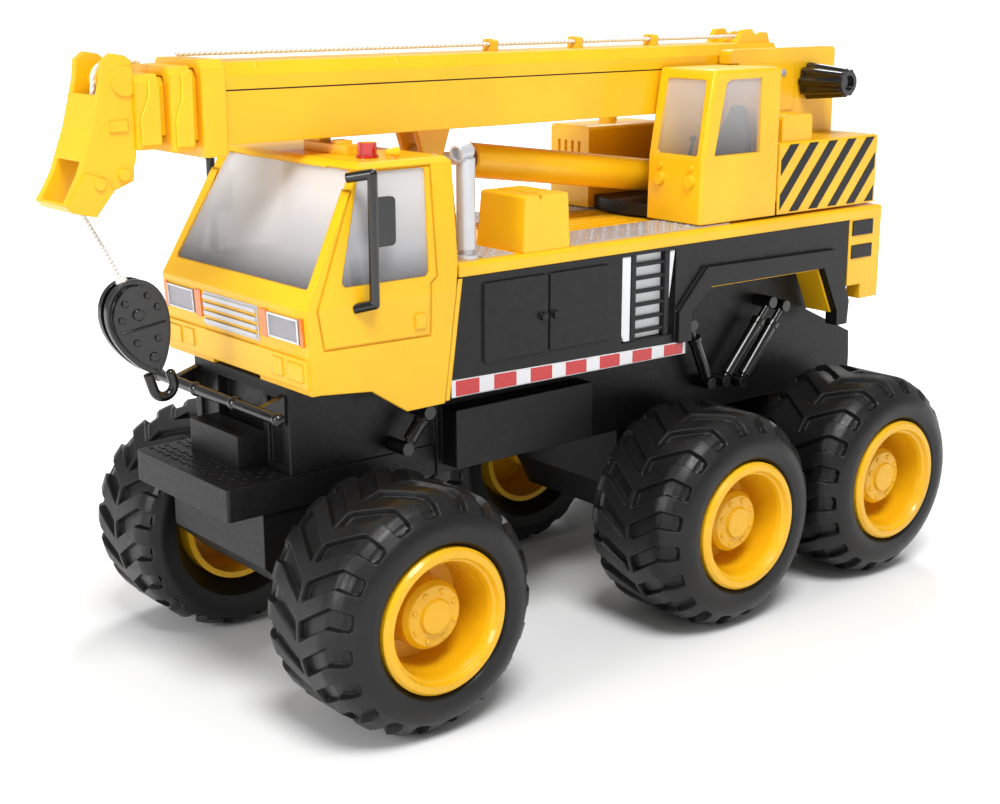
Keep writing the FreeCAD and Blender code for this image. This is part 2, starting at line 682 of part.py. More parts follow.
def counterweight():
    top = turret_z + 22.3
    body = box(turret_rear_x, -83.4, -turret_half_y, turret_half_y, turret_z, top)
    body = rounded(body, 1.6, (0, 0, 1), lambda p: p.x < -100)
    body = rounded(body, 1.0, (0, 1, 0), lambda p: p.x < -100 and p.z > top - 1)
    hump = rounded(box(-101, -86.6, 18.6, 32.4, top - 1, top + 8.4), 1.8, (0, 1, 0), lambda p: p.z > top + 7)
    slot = box(turret_rear_x + 2.5, -80, -cheek_outer_y, cheek_outer_y, turntable_top_z, top + 30)
    return fuse(body, hump).cut(slot).cut(turret_base())


def winch_housing():
    low, top = turntable_top_z, pivot_z + 7.8
    outline = [(-131, low), (-131, top), (-79.4, top), (-79.4, turret_z + 45.9), (-83.6, turret_z + 45.9),
               (-83.6, low)]
    cheek = prism_y(outline, cheek_inner_y, cheek_outer_y)
    cheek = rounded(cheek, 1.6, (0, 1, 0), lambda p: p.z > top - 0.5)
    boss = box(-110.4, -84.0, cheek_outer_y - 1, cheek_outer_y + 0.5, pivot_z - 12, pivot_z + 3.2)
    boss = rounded(boss, 2.0, (0, 1, 0), lambda p: p.x < -100)
    back = box(-131, -128.6, -cheek_outer_y, cheek_outer_y, low, top - 14)
    body = fuse(back, *pair(cheek), boss)
    pin = rod((pivot_x, -20, pivot_z), (pivot_x, 20, pivot_z), pivot_pin_radius)
    shaft = rod((crank_x, -20, crank_z), (crank_x, 20, crank_z), crank_shaft_radius + running_gap)
    return body.cut(pin).cut(shaft)


def engine_box():
    top = turret_z + 26.0
    body = box(-83.2, -49.4, -turret_half_y, -cheek_outer_y - 0.2, turret_z, top)
    body = rounded(body, 1.4, (1, 0, 0), lambda p: p.z > top - 1)
    grooves = [box(-50.6, -48, y, y + 1.2, turret_z + 7, top - 5) for y in (-31, -27.8, -24.6, -21.4)]
    cap = rod((-66, -25, top), (-66, -25, top + 2.2), 3.0)
    side = [box(x, x + 1.6, -turret_half_y - 1, -turret_half_y + 0.7, turret_z + 6, top - 6)
            for x in (-78, -74, -70, -66, -62, -58)]
    return fuse(body.cut(Part.makeCompound(grooves + side)), cap).cut(turret_base())


def boom_pivot_pin():
    y = cheek_outer_y + 0.7
    return rod((pivot_x, -y, pivot_z), (pivot_x, y, pivot_z), pivot_pin_radius)


def barrel_pin():
    y = barrel_radius + 2.8
    return rod((barrel_pin_x, -y, barrel_pin_z), (barrel_pin_x, y, barrel_pin_z), cylinder_pin_radius)


# ---------------------------------------------------------------- winch
def crank_knob():
    y0, y1 = cheek_outer_y + 0.6, cheek_outer_y + 16.7
    core = cone((crank_x, y0, crank_z), (crank_x, y1, crank_z), 5.2, 3.9)
    ribs = []
    for i in range(9):
        angle = math.radians(40 * i)
        c, s = math.cos(angle), math.sin(angle)
        ribs.append(cone((crank_x + 4.7 * c, y0, crank_z + 4.7 * s),
                         (crank_x + 3.5 * c, y1 - 0.7, crank_z + 3.5 * s), 1.4, 1.15))
    knob = fuse(core, *ribs)
    dimple = rod((crank_x, y1 - 1.2, crank_z), (crank_x, y1 + 1, crank_z), 2.4)
    bore = rod((crank_x, y0 - 1, crank_z), (crank_x, y0 + 6, crank_z), crank_shaft_radius)
    return knob.cut(dimple).cut(bore)


def winch_drum():
    y = cheek_outer_y - 0.8
    shaft = rod((crank_x, -y, crank_z), (crank_x, cheek_outer_y + 6.6, crank_z), crank_shaft_radius)
    spool = rod((crank_x, -4.2, crank_z), (crank_x, 4.2, crank_z), 2.8)
    flanges = [rod((crank_x, y0, crank_z), (crank_x, y0 + 0.9, crank_z), 4.8) for y0 in (-5.1, 4.2)]
    return fuse(shaft, spool, *flanges)


# ---------------------------------------------------------------- boom
def sleeve_section(x0, x1, half, low, high, wall, chamfer):
    """A hollow boom section with chamfered upper edges."""
    def outline(i):
        return [(-half + i, low + i), (half - i, low + i), (half - i, high - chamfer),
                (half - chamfer * 0.7, high - i), (-half + chamfer * 0.7, high - i),
                (-half + i, high - chamfer)]
    return prism_x(outline(0), x0, x1).cut(prism_x(outline(wall), x0 - 1, x1 + 1))


def collar(x0, x1, half, low, high, chamfer):
    outline = [(-half, low), (half, low), (half, high - chamfer), (half - chamfer, high),
               (-half + chamfer, high), (-half, high - chamfer)]
    ring = prism_x(outline, x0, x1)
    return rounded(ring, 1.0, (0, 1, 0), lambda p: abs(p.x - x0) < 0.01 and p.z < low + 0.1)


def section_sizes():
    """Half width, low and high of the base, middle and tip sections."""
    sizes = [(boom_half_y, boom_low_z, boom_top_z)]
    for _ in range(2):
        half, low, high = sizes[-1]
        step = boom_wall + section_gap
        sizes.append((half - step, low + step, high - step))
    return sizes


def inside(half, low, high, wall, chamfer):
    i = wall
    return prism_x([(-half + i, low + i), (half - i, low + i), (half - i, high - chamfer),
                    (half - chamfer * 0.7, high - i), (-half + chamfer * 0.7, high - i),
                    (-half + i, high - chamfer)], -200, 200)


def boom_base():
    """The lower channel of the base section and the cover above the moulded line."""
    half, low, high = section_sizes()[0]
    tube = sleeve_section(boom_rear_x, boom_front_x - 6.7, half, low, high, boom_wall, boom_chamfers[0])
    hollow = inside(half, low, high, boom_wall, boom_chamfers[0])
    ring = collar(boom_front_x - 6.7, boom_front_x, half + 1.5, low - 2.6, high + 0.9, 2.2).cut(hollow)
    end_wall = box(-90, -88.5, -half + boom_wall, half - boom_wall, low + boom_wall, high - boom_wall)
    belly_lugs = []
    for side in (1, -1):
        y0, y1 = sorted((side * 3.3, side * 5.4))
        lug = prism_y([(rod_pin_x - 6, low + 0.2), (rod_pin_x + 6, low + 0.2), (rod_pin_x + 3.2, rod_pin_z),
                       (rod_pin_x - 3.2, rod_pin_z)], y0, y1)
        belly_lugs += [lug, rod((rod_pin_x, y0, rod_pin_z), (rod_pin_x, y1, rod_pin_z), 3.2)]
    whole = fuse(tube, ring, end_wall, *belly_lugs)
    whole = whole.cut(rod((pivot_x, -20, pivot_z), (pivot_x, 20, pivot_z), pivot_pin_radius + running_gap))
    whole = whole.cut(rod((rod_pin_x, -6, rod_pin_z), (rod_pin_x, 6, rod_pin_z), cylinder_pin_radius))
    split = box(boom_rear_x - 1, boom_front_x - 6.7, -20, 20, cover_line_z, high + 5)
    cover = whole.common(split)
    lower = whole.cut(split)
    guides = []
    for x in (4.9, -28.1, -60.1):
        guide = box(x - 0.8, x + 0.8, -2.6, 2.6, high - 0.1, string_z + 1.5)
        guide = rounded(guide, 1.0, (1, 0, 0), lambda p: p.z > high + 1)
        guides.append(guide.cut(rod((x - 2, 0, string_z), (x + 2, 0, string_z), string_radius + 0.2)))
    ears = []
    for y0, y1 in ((-6.9, -4.9), (4.9, 6.9)):
        ears.append(prism_y([(-92.5, high - 0.2), (-95.5, high + 4.2), (-99.5, high + 4.4),
                             (-101, high + 2.6), (-103.6, high + 3.4), (-107.0, high + 3.2),
                             (-108.4, high - 0.2)], y0, y1))
    saddle_z = string_z - string_radius - 1.02
    saddle = rod((-97.4, -5, saddle_z), (-97.4, 5, saddle_z), 1.0)
    return lower, fuse(cover, saddle, *guides, *ears)


def rod_pin():
    return rod((rod_pin_x, -5.4, rod_pin_z), (rod_pin_x, 5.4, rod_pin_z), cylinder_pin_radius)


def boom_mid():
    half, low, high = section_sizes()[1]
    x_front = boom_front_x + 1.8
    tube = sleeve_section(20, x_front, half, low, high, boom_wall, boom_chamfers[1])
    hollow = inside(half, low, high, boom_wall, boom_chamfers[1])
    ring = collar(x_front, x_front + 6.2, half + 1.9, low - 2.4, high + 1.0, 2.0).cut(hollow)
    return fuse(tube, ring)


def boom_tip():
    half, low, high = section_sizes()[2]
    x_front = boom_front_x + 10.0
    tube = sleeve_section(30, x_front, half, low, high, boom_wall, boom_chamfers[2])
    ring = collar(x_front, head_back_x, half + 2.0, low - 3.0, high + 0.9, 1.8)
    slot = box(sheave_x - sheave_radius - 0.6, head_back_x + 1, -2.7, 2.7,
               sheave_z - sheave_radius - 1.0, high + 5)
    return fuse(tube, ring).cut(slot)


def head_outline():
    tip = head_tip_x
    z = pivot_z
    return [(tip - 20.4, z + 9.2), (tip - 17.5, z + 11.6), (tip - 14.2, z + 12.2), (tip - 11.8, z + 10.4),
            (tip - 11.2, z + 5.9), (tip - 8.0, z - 5.8), (tip - 4.0, z - 16.1), (tip, z - 22.9),
            (tip - 1.6, z - 24.6), (tip - 7.5, z - 26.0), (tip - 12.4, z - 20.2), (tip - 18.0, z - 18.1),
            (tip - 18.4, z - 14.5), (tip - 19.1, z - 12.0)]


def boom_head():
    outline = head_outline()
    tip, z = head_tip_x, pivot_z
    cheek = prism_y(outline, head_half_y - cheek_plate, head_half_y)
    toe = prism_y([(tip - 5.4, z - 15.2), (tip, z - 22.9), (tip - 1.6, z - 24.6), (tip - 7.5, z - 26.0),
                   (tip - 12.4, z - 20.2), (tip - 11.0, z - 17.0)], head_half_y - 0.2, head_half_y + 0.6)
    boss = rod((sheave_x, head_half_y - 0.2, sheave_z), (sheave_x, head_half_y + 0.5, sheave_z), 3.6)
    strap = box(tip - 17.2, tip - 12.4, head_half_y - 0.2, head_half_y + 0.5, z - 6.2, z - 3.4)
    rivets = [rod((x, head_half_y - 0.2, zz), (x, head_half_y + 1.1, zz), 1.5)
              for x, zz in ((tip - 15.4, z - 16.4), (tip - 8.9, z - 18.2))]
    side = fuse(cheek, toe, boss, strap, *rivets).cut(box(0, head_back_x, -20, 20, 0, 300))
    back = box(head_back_x, head_back_x + 1.8, -head_half_y + cheek_plate,
               head_half_y - cheek_plate, z - 8.0, z - 1.0)
    inner = head_half_y - cheek_plate + 0.1
    plate = prism_y([(tip - 10.3, z + 2.6), (tip - 8.0, z - 5.8), (tip - 5.3, z - 12.8),
                     (tip - 6.4, z - 13.2), (tip - 9.1, z - 6.1), (tip - 11.4, z + 2.3)], -inner, inner)
    toe_bar = prism_y([(tip - 0.4, z - 22.3), (tip, z - 22.9), (tip - 1.6, z - 24.6), (tip - 5.4, z - 25.5),
                       (tip - 4.4, z - 23.0)], -inner, inner)
    pin = rod((tip - 15.4, -inner, z - 16.4), (tip - 15.4, inner, z - 16.4), 1.3)
    body = fuse(back, plate, toe_bar, pin, *pair(side))
    return body.cut(rod((sheave_x, -7, sheave_z), (sheave_x, 7, sheave_z), sheave_pin_radius))


def head_sheave():
    groove, bore = sheave_radius - 0.7, sheave_pin_radius
    hub = head_half_y - cheek_plate
    wheel = revolve_y([(bore, -hub), (1.9, -hub), (1.9, -2.0), (sheave_radius, -2.0), (sheave_radius, -1.2),
                       (groove, -0.4), (groove, 0.4), (sheave_radius, 1.2), (sheave_radius, 2.0), (1.9, 2.0),
                       (1.9, hub), (bore, hub)])
    pin = rod((0, -7, 0), (0, 7, 0), bore)
    return moved(wheel, sheave_x, 0, sheave_z), moved(pin, sheave_x, 0, sheave_z)


def string_top():
    """The hoist string from the rear ears to the front collar of the base section."""
    return rod((-101.0, 0, string_z), (boom_front_x, 0, string_z), string_radius)


def string_head():
    """The string over the head sheave and down through the head."""
    lap = sheave_radius - 0.7 + string_radius

    def on_sheave(degrees):
        a = math.radians(degrees)
        return V(sheave_x + lap * math.cos(a), 0, sheave_z + lap * math.sin(a))

    top, leave = on_sheave(90), on_sheave(-8)
    start = V(boom_front_x + 10.2, 0, top.z)
    path = Part.Wire([Part.LineSegment(start, top).toShape(), Part.Arc(top, on_sheave(41), leave).toShape()])
    section = Part.Wire(Part.Circle(start, V(1, 0, 0), string_radius).toShape())
    over = path.makePipeShell([section], True, True)
    end = string_exit() + (leave - string_exit()).normalize() * 0.7
    return fuse(over, rod(tuple(leave), tuple(end), string_radius))


def string_exit():
    return V(head_tip_x - 8.0, 0, pivot_z - 26.4)


# ---------------------------------------------------------------- hook
def hook_frame():
    """Top of the block, the unit vector down its middle and the one across it."""
    top = string_exit() + V(-9.1, 0, -17.3)
    down = V(-math.sin(block_tilt), 0, -math.cos(block_tilt))
    across = V(math.cos(block_tilt), 0, -math.sin(block_tilt))
    return top, down, across


def hook_point(s, t, y=0.0):
    top, down, across = hook_frame()
    point = top + down * s + across * t
    return V(point.x, y, point.z)


def string_tube(points):
    """A string along straight runs joined by tangent arcs, each as large as its two runs allow."""
    edges, radii, last = [], [], points[0]
    for before, corner, after in zip(points, points[1:], points[2:]):
        run = min(before.distanceToPoint(corner), corner.distanceToPoint(after))
        into, out = (corner - before).normalize(), (after - corner).normalize()
        half_turn = into.getAngle(out) / 2
        reach = 0.45 * run
        radius = reach / math.tan(half_turn)
        first, end = corner - into * reach, corner + out * reach
        middle = corner + (out - into).normalize() * (radius / math.cos(half_turn) - radius)
        edges += [Part.LineSegment(last, first).toShape(), Part.Arc(first, middle, end).toShape()]
        radii.append(round(radius, 1))
        last = end
    edges.append(Part.LineSegment(last, points[-1]).toShape())
    print("string arc radii", radii)
    section = Part.Circle(points[0], (points[1] - points[0]).normalize(), string_radius).toShape()
    return Part.Wire(edges).makePipeShell([Part.Wire(section)], True, True)


def hoist_string():
    """From the boom head down to the block, and on between its two halves to the tie pin."""
    return string_tube([string_exit(), string_exit() + V(-3.9, 0, -7.1), hook_point(-2.2, 0.2),
                        hook_point(6.8, 0), hook_point(12.6, -0.35)])


def block_shell(y0, y1):
    length, half = block_length, block_half_width
    outline = [(0.4, -3.2), (0.4, 3.2), (3.4, 6.6), (8.2, half), (13.0, half - 0.5), (19.5, 6.0), (24.0, 3.8),
               (length, 2.2), (length, -2.2), (24.0, -3.8), (19.5, -6.0), (13.0, -half + 0.5),
               (8.2, -half), (3.4, -6.6)]
    return prism([hook_point(s, t, y0) for s, t in outline], V(0, y1 - y0, 0))


def hook_block():
    y1 = block_half_thick
    outer_shell = block_shell(block_gap, y1 - 1.0)
    face_plate = block_shell(y1 - 1.0, y1)
    trim = []
    for s, t in ((5.2, -4.2), (5.2, 4.2), (16.2, -3.4), (16.2, 3.4), (20.6, 0.0)):
        trim.append(rod(tuple(hook_point(s, t, y1 - 0.2)), tuple(hook_point(s, t, y1 + 0.6)), 0.95))
    shell = fuse(outer_shell, face_plate, *trim)
    joins = [rod(tuple(hook_point(s, 0, -block_gap)), tuple(hook_point(s, 0, block_gap)), radius)
             for s, radius in ((14.1, 1.0), (18.4, 2.4), (22.6, 2.2))]
    return fuse(shell, *joins), mirrored(shell)


def hook_knot():
    return ball(tuple(hook_point(0.2, 0)), 1.5).cut(block_shell(-4, 4)).cut(hoist_string())


def hook():
    """A round bar hook below the block, with its free limb at the back."""
    bar, bend, middle, bottom = hook_bar_radius, hook_bend_radius, -1.2, block_length + 4.6

    def around(angle):
        a = math.radians(angle)
        return hook_point(bottom + bend * math.sin(a), middle + bend * math.cos(a))

    arc = Part.Arc(around(0), around(90), around(180)).toShape()
    section = Part.Wire(Part.Circle(around(0), hook_frame()[1], bar).toShape())
    bow = Part.Wire(arc).makePipeShell([section], True, True)
    front = rod(tuple(hook_point(block_length, middle + bend)), tuple(around(0)), bar)
    tip = hook_point(bottom - 2.0, middle - bend)
    back = rod(tuple(around(180)), tuple(tip), bar)
    return fuse(front, bow, back, ball(tuple(tip), bar))


# ---------------------------------------------------------------- lift cylinder
def cylinder_point(along):
    """A point on the cylinder's axis, measured from its turret pin towards its boom pin."""
    dx, dz = rod_pin_x - barrel_pin_x, rod_pin_z - barrel_pin_z
    run = math.hypot(dx, dz)
    return (barrel_pin_x + dx * along / run, 0, barrel_pin_z + dz * along / run)


def lift_barrel():
    eye = rod((barrel_pin_x, -barrel_radius, barrel_pin_z), (barrel_pin_x, barrel_radius, barrel_pin_z), 4.2)
    tube = rod(cylinder_point(4.5), cylinder_point(93), barrel_radius)
    neck = rod(cylinder_point(0), cylinder_point(6), 3.6)
    barrel = fuse(eye, neck, tube).cut(rod(cylinder_point(45), cylinder_point(94), barrel_bore))
    pin = rod((barrel_pin_x, -9, barrel_pin_z), (barrel_pin_x, 9, barrel_pin_z),
              cylinder_pin_radius + running_gap)
    return barrel.cut(pin)


def lift_rod():
    length = math.hypot(rod_pin_x - barrel_pin_x, rod_pin_z - barrel_pin_z)
    eye = rod((rod_pin_x, -3.1, rod_pin_z), (rod_pin_x, 3.1, rod_pin_z), 3.2)
    bar = rod(cylinder_point(length - 57), cylinder_point(length), rod_radius)
    pin = rod((rod_pin_x, -9, rod_pin_z), (rod_pin_x, 9, rod_pin_z), cylinder_pin_radius + running_gap)
    return fuse(eye, bar).cut(pin)


# ---------------------------------------------------------------- write every node
wheelsets()
save("chassis_frame", chassis_frame())
save("front_step", front_step())
save("push_bar", push_bar())
save("axle_housings", *axle_housings())
save("shock_absorbers", *shock_absorbers())
save("chassis_screws", *chassis_screws())
save("cab_shell", cab_shell())
save("cab_glazing", *cab_glazing())
save("cab_seats", *cab_seats())
save("dashboard", dashboard())
save("grille", grille())
save("headlights", *headlights())
save("turn_markers", *turn_markers())
save("mirror_bars", *pair(mirror_bar()))
save("roof_beacon", roof_beacon())
save("roof_fittings", *roof_fittings())
save("exhaust_stack", exhaust_stack())
save("deck", deck())
save("deck_boxes", *pair(deck_box()))
save("tread_plates", *tread_plates())
save("side_panels", *pair(side_panel()))
save("ladder_backings", *ladder_backings())
save("reflector_strips", *reflector_strips())
save("tail_lamps", *tail_lamps())
save("turret_base", turret_base())
save("operator_cab", operator_cab())
save("operator_cab_glazing", *opcab_glazing())
save("operator_seat", operator_seat())
save("control_levers", control_levers())
save("counterweight", counterweight())
save("winch_housing", winch_housing())
save("engine_box", engine_box())
save("boom_pivot_pin", boom_pivot_pin())
save("barrel_pin", barrel_pin())
save("crank_knob", crank_knob())
save("winch_drum", winch_drum())
boom_channel, boom_cover = boom_base()
save("boom_channel", boom_channel)
save("boom_cover", boom_cover)
save("rod_pin", rod_pin())
save("string_top", string_top())
save("boom_mid_section", boom_mid())
save("boom_tip_section", boom_tip())
save("boom_head", boom_head())
save("head_sheave", *head_sheave())
save("string_head", string_head())
save("hoist_string", hoist_string())
save("hook_block", *hook_block())
save("hook_knot", hook_knot())
save("hook", hook())
save("lift_barrel", lift_barrel())
save("lift_rod", lift_rod())
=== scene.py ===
"""Looks of the toy mobile crane truck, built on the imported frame. Lengths in the code are millimetres."""

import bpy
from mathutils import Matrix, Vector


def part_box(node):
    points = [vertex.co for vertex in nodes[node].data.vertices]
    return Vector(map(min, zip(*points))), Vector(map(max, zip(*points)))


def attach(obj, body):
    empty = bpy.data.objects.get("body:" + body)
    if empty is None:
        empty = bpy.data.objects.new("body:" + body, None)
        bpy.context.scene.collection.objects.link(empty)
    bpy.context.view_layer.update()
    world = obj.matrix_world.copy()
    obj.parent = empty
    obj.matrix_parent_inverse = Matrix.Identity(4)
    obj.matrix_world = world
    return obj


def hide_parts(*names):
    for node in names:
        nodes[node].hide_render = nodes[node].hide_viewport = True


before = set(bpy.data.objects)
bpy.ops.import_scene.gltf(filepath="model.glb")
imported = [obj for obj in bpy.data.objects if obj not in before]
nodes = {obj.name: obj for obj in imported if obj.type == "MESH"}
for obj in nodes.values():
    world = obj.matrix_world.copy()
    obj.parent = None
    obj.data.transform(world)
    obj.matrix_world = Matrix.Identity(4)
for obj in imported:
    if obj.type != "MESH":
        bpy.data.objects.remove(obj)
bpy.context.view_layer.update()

import bmesh
import bpy
import math
from mathutils import Vector

MM = 0.001
scene = bpy.context.scene


# ---------------------------------------------------------------- camera, light and floor
def place_camera():
    """The camera, at the front left and a little above."""
    camera = bpy.data.objects.new("camera", bpy.data.cameras.new("camera"))
    scene.collection.objects.link(camera)
    camera.location = (0.3007, 0.3598, 0.1882)
    look = Vector((-0.61823, -0.74285, -0.25684))
    camera.rotation_euler = look.to_track_quat("-Z", "Y").to_euler()
    camera.data.lens = 56.92
    camera.data.sensor_width = 36.0
    camera.data.clip_start = 0.01
    scene.camera = camera


def area_light(name, place, aim, size, power):
    """A round soft light at a place, aimed at a point, both in metres."""
    light = bpy.data.lights.new(name, "AREA")
    light.shape = "DISK"
    light.size = size
    light.energy = power
    lamp = bpy.data.objects.new(name, light)
    scene.collection.objects.link(lamp)
    lamp.location = place
    lamp.rotation_euler = (Vector(aim) - Vector(place)).to_track_quat("-Z", "Y").to_euler()


def light_the_studio():
    """Three soft lights and an even white world."""
    area_light("key_light", (0.3, 0.55, 1.1), (0, 0, 0.07), 0.5, 12.0)
    area_light("front_light", (1.1, 0.1, 0.5), (0, 0, 0.08), 0.4, 5.0)
    area_light("back_light", (-0.7, -0.6, 0.9), (0, 0, 0.1), 0.5, 7.0)
    world = bpy.data.worlds.new("studio")
    world.use_nodes = True
    world.node_tree.nodes["Background"].inputs["Color"].default_value = (1, 1, 1, 1)
    world.node_tree.nodes["Background"].inputs["Strength"].default_value = 0.42
    scene.world = world
    scene.view_settings.view_transform = "Standard"


# ---------------------------------------------------------------- materials
class Graph:
    """A material's node tree, built in a few words."""

    def __init__(self, name):
        self.material = bpy.data.materials.new(name)
        self.material.use_nodes = True
        self.tree = self.material.node_tree
        self.tree.nodes.clear()
        self.shader = self.add("ShaderNodeBsdfPrincipled")
        out = self.add("ShaderNodeOutputMaterial")
        self.link(self.shader.outputs["BSDF"], out.inputs["Surface"])
        self.place = self.add("ShaderNodeTexCoord").outputs["Object"]

    def add(self, kind, values=None, **settings):
        node = self.tree.nodes.new(kind)
        for key, value in settings.items():
            setattr(node, key, value)
        for key, value in (values or {}).items():
            node.inputs[key].default_value = value
        return node

    def link(self, source, target):
        self.tree.links.new(source, target)

    def noise(self, scale, detail=3.0):
        """A noise pattern; scale is per metre."""
        node = self.add("ShaderNodeTexNoise", {"Scale": scale, "Detail": detail})
        self.link(self.place, node.inputs["Vector"])
        return node.outputs["Fac"]

    def ramp(self, factor, stops):
        """Colours along a factor; each stop is (place, colour)."""
        node = self.add("ShaderNodeValToRGB")
        ramp = node.color_ramp
        while len(ramp.elements) < len(stops):
            ramp.elements.new(0.5)
        for element, (place, colour) in zip(ramp.elements, stops):
            element.position = place
            element.color = (*colour, 1)
        self.link(factor, node.inputs["Fac"])
        return node.outputs["Color"]

    def spread(self, factor, low, high, from_low=0.3, from_high=0.7):
        """A factor's range, from_low to from_high, taken to the range low to high."""
        node = self.add("ShaderNodeMapRange", {"From Min": from_low, "From Max": from_high,
                                               "To Min": low, "To Max": high})
        self.link(factor, node.inputs["Value"])
        return node.outputs["Result"]

    def height(self):
        """Height above the ground, in metres."""
        split = self.add("ShaderNodeSeparateXYZ")
        self.link(self.place, split.inputs["Vector"])
        return split.outputs["Z"]

    def relief(self, height, strength, distance, edge=0.0):
        """Bump from a height, on normals that round the edges off by a small radius."""
        bump = self.add("ShaderNodeBump", {"Strength": strength, "Distance": distance})
        self.link(height, bump.inputs["Height"])
        if edge:
            soft = self.add("ShaderNodeBevel", {"Radius": edge}, samples=4)
            self.link(soft.outputs["Normal"], bump.inputs["Normal"])
        self.link(bump.outputs["Normal"], self.shader.inputs["Normal"])


def tinted(colour, factor):
    return tuple(channel * factor for channel in colour)


def moulded(name, colour, rough, grain=1500, relief=0.12, edge=0.00035, coat=0.0, metal=0.0, vary=0.07,
            specular=0.5):
    """Moulded plastic, paint or rubber: slow colour drift, fine grain and softened edges."""
    g = Graph(name)
    drift = g.noise(38, 2.0)
    g.link(g.ramp(drift, [(0.3, tinted(colour, 1 - vary)), (0.7, tinted(colour, 1 + vary))]),
           g.shader.inputs["Base Color"])
    g.link(g.spread(g.noise(grain * 0.35), rough - 0.05, rough + 0.07), g.shader.inputs["Roughness"])
    g.shader.inputs["Metallic"].default_value = metal
    g.shader.inputs["Specular IOR Level"].default_value = specular
    g.shader.inputs["Coat Weight"].default_value = coat
    g.shader.inputs["Coat Roughness"].default_value = 0.08
    g.relief(g.noise(grain), relief, 0.00012, edge)
    return g.material


def reflection_painted_pane(name, stops, low, high, alpha):
    """A thin window with a painted reflection: its grey pales with height, from the level low to the level
    high.
    """
    g = Graph(name)
    level = g.spread(g.height(), 0, 1, low * MM, high * MM)
    g.link(g.ramp(level, stops), g.shader.inputs["Base Color"])
    g.link(g.spread(level, *alpha, 0, 1), g.shader.inputs["Alpha"])
    g.link(g.spread(g.noise(60), 0.03, 0.09), g.shader.inputs["Roughness"])
    g.shader.inputs["Coat Weight"].default_value = 0.6
    return g.material


def lens(name, colour, ribs):
    """A ribbed lamp lens in its own colour."""
    g = Graph(name)
    wave = g.add("ShaderNodeTexWave", {"Scale": ribs, "Distortion": 0.4}, bands_direction="Y")
    g.link(g.place, wave.inputs["Vector"])
    g.link(g.ramp(wave.outputs["Fac"], [(0.2, tinted(colour, 0.8)), (0.8, colour)]),
           g.shader.inputs["Base Color"])
    g.shader.inputs["Roughness"].default_value = 0.16
    g.shader.inputs["Coat Weight"].default_value = 0.7
    g.relief(wave.outputs["Fac"], 0.3, 0.0002, 0.0003)
    return g.material


def twisted_string(name, colour):
    """Matt twisted thread, with slanting strands."""
    g = Graph(name)
    wave = g.add("ShaderNodeTexWave", {"Scale": 420, "Distortion": 1.2}, bands_direction="DIAGONAL")
    g.link(g.place, wave.inputs["Vector"])
    g.link(g.ramp(wave.outputs["Fac"], [(0.1, tinted(colour, 0.72)), (0.7, colour)]),
           g.shader.inputs["Base Color"])
    g.link(g.spread(g.noise(2500), 0.75, 0.9), g.shader.inputs["Roughness"])
    g.shader.inputs["Sheen Weight"].default_value = 0.4
    g.relief(wave.outputs["Fac"], 0.7, 0.0002)
    return g.material


YELLOW = (0.87, 0.47, 0.006)
yellow = moulded("yellow_plastic", YELLOW, 0.34, 1400, 0.03, 0.0006, 0.2, specular=0.35)
rim_yellow = moulded("rim_yellow", (0.82, 0.44, 0.005), 0.3, 1400, 0.03, 0.0005, 0.3, specular=0.35)
gloss_black = moulded("gloss_black", (0.004, 0.004, 0.0045), 0.2, 1200, 0.05, 0.0005, 0.35, specular=0.4)
chassis_black = moulded("chassis_black", (0.006, 0.006, 0.0065), 0.38, 1700, 0.5, 0.0004, specular=0.3)
panel_black = moulded("panel_black", (0.005, 0.005, 0.0055), 0.34, 1500, 0.15, 0.0005, specular=0.3)
silver = moulded("paint_silver", (0.55, 0.55, 0.57), 0.34, 1600, 0.03, 0.0003, 0.2, 0.3)
backing_white = moulded("backing_white", (0.72, 0.73, 0.75), 0.4, 1500, 0.1, 0.0003, 0.1)
rubber = moulded("tyre_rubber", (0.006, 0.006, 0.0065), 0.38, 1300, 0.25, 0.0005, specular=0.38)
seat_grey = moulded("seat_grey", (0.02, 0.02, 0.021), 0.6, 1500, 0.4, 0.0005)
steel = moulded("bright_steel", (0.75, 0.75, 0.76), 0.25, 900, 0.1, 0.0002, 0.3, 0.6)
reflective_red = moulded("reflector_red", (0.5, 0.004, 0.006), 0.3, 1800, 0.3, 0.0002, 0.5)
reflective_white = moulded("reflector_white", (0.68, 0.68, 0.7), 0.3, 1800, 0.3, 0.0002, 0.5)
# painted reflection: the cab glass runs from dark grey low down to near white at the top, and the operator
# glass pales upwards too
cab_glass = reflection_painted_pane("cab_glass", [(0.0, (0.12, 0.12, 0.13)), (0.3, (0.55, 0.55, 0.57)),
                                     (0.75, (0.85, 0.85, 0.87))], 113.5, 143.0, (0.6, 0.5))
operator_glass = reflection_painted_pane("operator_glass", [(0.0, (0.75, 0.75, 0.76)), (1.0, (0.85, 0.85, 0.86))],
                            137.0, 160.0, (0.06, 0.32))
lens_grey = lens("lens_grey", (0.27, 0.26, 0.29), 520)
lens_orange = lens("lens_orange", (0.85, 0.2, 0.01), 260)
lens_red = lens("lens_red", (0.5, 0.006, 0.008), 120)
string_white = twisted_string("white_string", (0.82, 0.8, 0.76))

FINISHES = {
    yellow: "cab_shell operator_cab counterweight winch_housing engine_box boom_channel boom_cover "
            "boom_mid_section boom_tip_section boom_head deck deck_boxes lift_barrel roof_fittings "
            "head_sheave",
    rim_yellow: "rims_front rims_middle rims_rear",
    gloss_black: "hook_block hook push_bar mirror_bars shock_absorbers crank_knob",
    chassis_black: "chassis_frame front_step axle_housings turret_base control_levers dashboard winch_drum",
    panel_black: "side_panels tail_lamps",
    backing_white: "ladder_backings",
    silver: "exhaust_stack grille lift_rod tread_plates",
    seat_grey: "cab_seats operator_seat",
    steel: "axle_front axle_middle axle_rear chassis_screws boom_pivot_pin barrel_pin rod_pin",
    cab_glass: "cab_glazing",
    operator_glass: "operator_cab_glazing",
    lens_grey: "headlights",
    lens_orange: "turn_markers",
    lens_red: "roof_beacon",
    string_white: "hook_knot",
}


